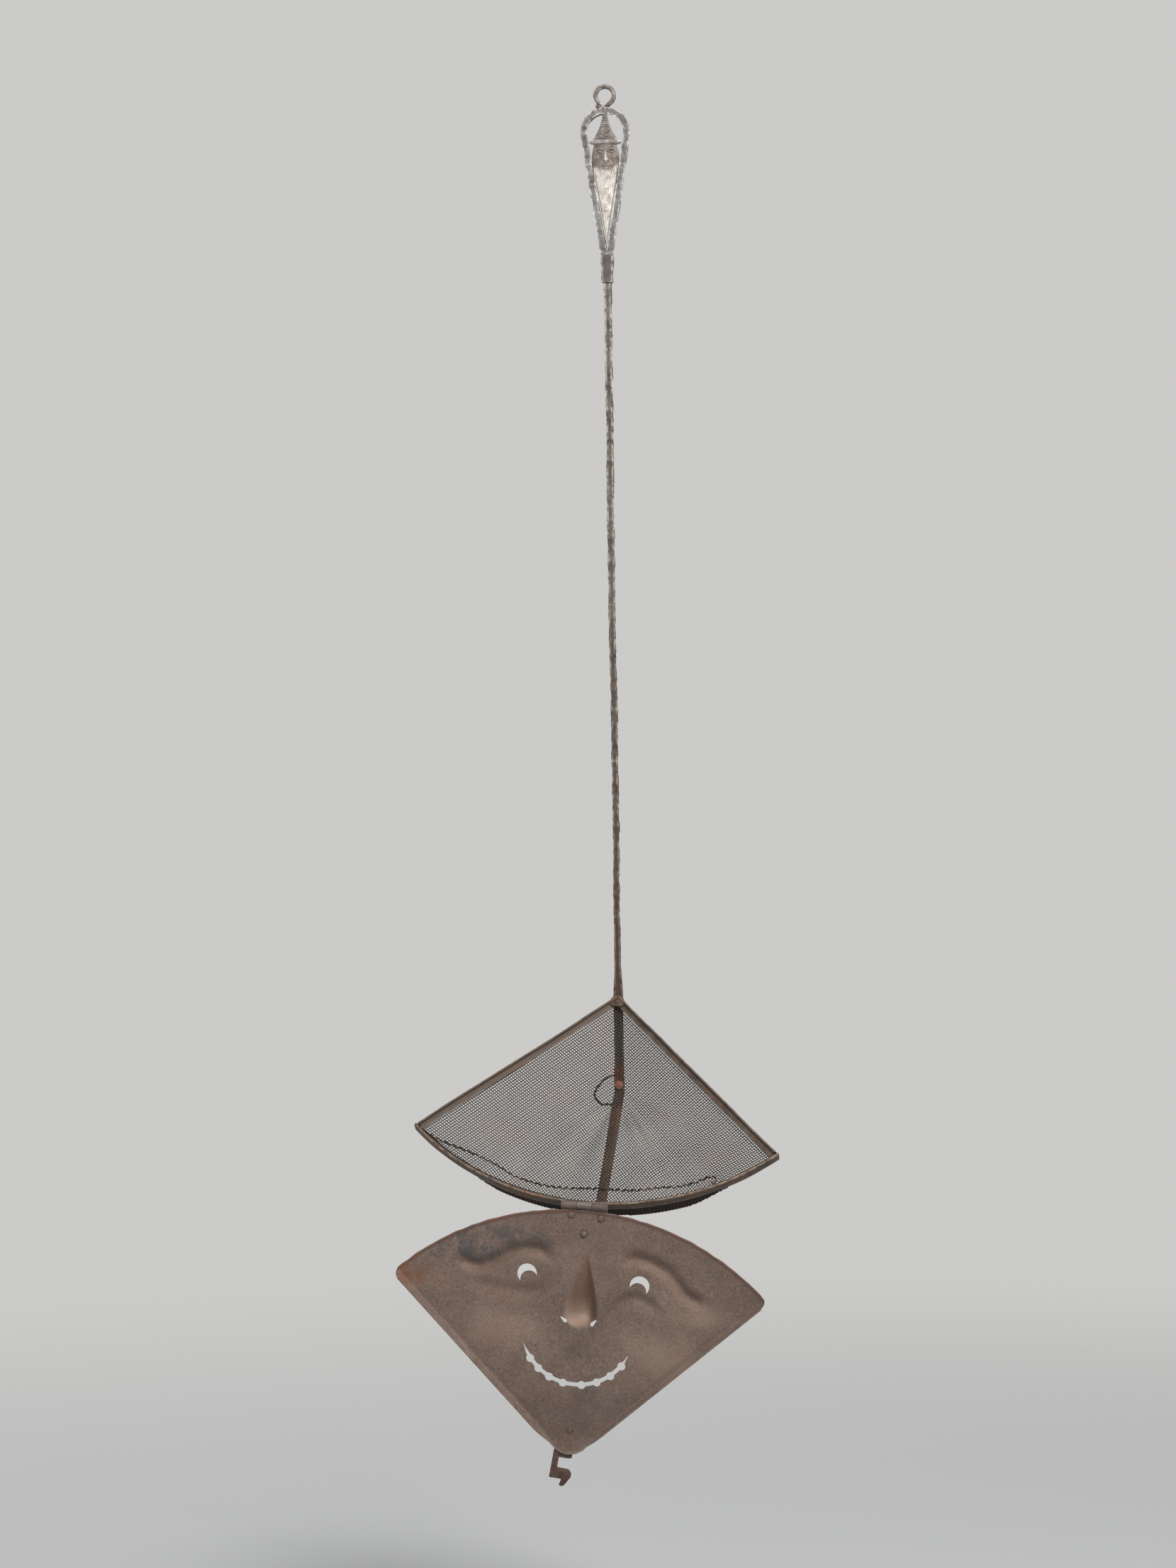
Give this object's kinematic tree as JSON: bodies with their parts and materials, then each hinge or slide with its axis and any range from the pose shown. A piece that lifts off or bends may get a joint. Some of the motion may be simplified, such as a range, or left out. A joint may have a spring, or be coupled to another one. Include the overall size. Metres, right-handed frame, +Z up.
{
  "type": "chestnut roaster",
  "caption": "Long-handled iron chestnut roaster with a teardrop grip, a raked wire-cloth basket, a hinged pierced lid and a swinging latch hook.",
  "frame": {"origin": "centre of the hanging ring's eye", "axes": "+Z up along the handle as the roaster hangs; +Y toward the wall, so the open basket and the inside of the lid face -Y"},
  "size_m": [0.3772, 0.1706, 1.3991],
  "materials": {
    "forged_iron": "hammered, worn bright on the edges",
    "rod_iron": "hammered, brown patina",
    "rim_iron": "folded sheet, brown patina with bright edges",
    "wire_cloth": "woven wire, dulled and lightly rusted",
    "lacing": "twisted wire, brown",
    "rusty_iron": "rusted",
    "bright_steel": "worn bright",
    "rivet_iron": "hammered, brown",
    "lid_iron": "sheet, mottled brown patina"
  },
  "bodies": {
    "roaster": {"hanging_ring": "forged_iron", "grip_loop": "forged_iron", "carved_head": "forged_iron", "collar": "forged_iron", "handle_rod": "rod_iron", "rim_left": "rim_iron", "rim_right": "rim_iron", "rim_arc": "rim_iron", "wall_cloth_left": "wire_cloth", "wall_cloth_right": "wire_cloth", "gusset_cloth_left": "wire_cloth", "gusset_cloth_right": "wire_cloth", "floor_cloth": "wire_cloth", "arc_cloth": "wire_cloth", "lacing_wire": "lacing", "floor_strap": "rusty_iron", "apex_washer": "rusty_iron", "hinge_leaf_basket": "bright_steel", "hinge_pin": "bright_steel", "apex_rivet": "rivet_iron", "strap_rivet": "rivet_iron", "rim_rivets": "rivet_iron", "hinge_rivets_basket": "rivet_iron"},
    "lid": {"lid_pan": "lid_iron", "hinge_leaf_lid": "rusty_iron", "hinge_rivets_lid": "rivet_iron", "latch_rivet": "rivet_iron"},
    "latch": {"latch_hook": "rusty_iron"}
  },
  "joints": [
    {"name": "lid_hinge", "type": "hinge", "parent": "roaster", "child": "lid", "pos_m": [-0.02495, -0.14646, -1.11263], "axis": [0.9949, -0.0594, -0.0818], "range_deg": [-216, 30]},
    {"name": "latch_pivot", "type": "hinge", "parent": "lid", "child": "latch", "pos_m": [-0.0428, -0.14339, -1.33206], "axis": [-0.0596, -0.9982, 0], "range_deg": [-24, 6]}
  ]
}
